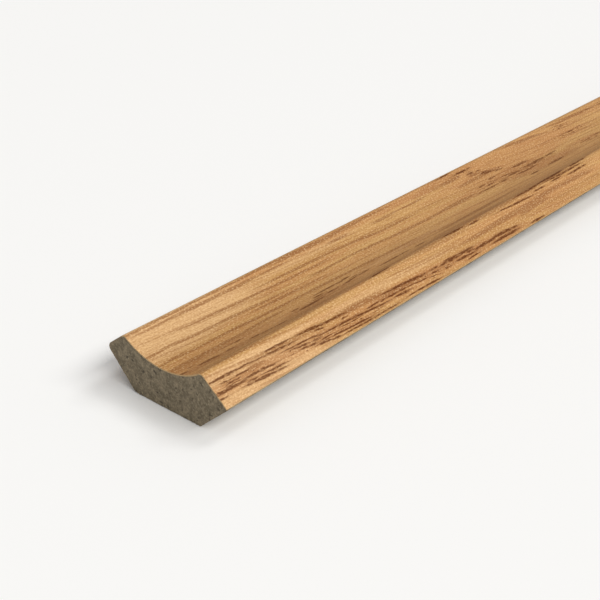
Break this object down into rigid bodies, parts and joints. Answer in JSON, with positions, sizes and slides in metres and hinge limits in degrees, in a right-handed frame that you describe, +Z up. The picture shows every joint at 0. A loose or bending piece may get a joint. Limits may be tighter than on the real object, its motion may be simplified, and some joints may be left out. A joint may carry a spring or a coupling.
{
  "type": "scotia moulding",
  "caption": "Straight scotia trim: lip, hollow cove and toe wrapped in wood-print foil over an MDF core with a chamfered back, hides the gap between floor and wall",
  "frame": {"origin": "middle of the back chamfer, on which the moulding lies, at half its length", "axes": "+X along the length, +Z up out of the cove, away from the back chamfer; the toe points to -Y and the lip to +Y"},
  "size_m": [2.4, 0.0251, 0.0093],
  "materials": {
    "mdf": "matte",
    "oak_foil": "satin"
  },
  "bodies": {
    "root": {"mdf_core": "mdf", "decor_foil": "oak_foil"}
  },
  "joints": []
}
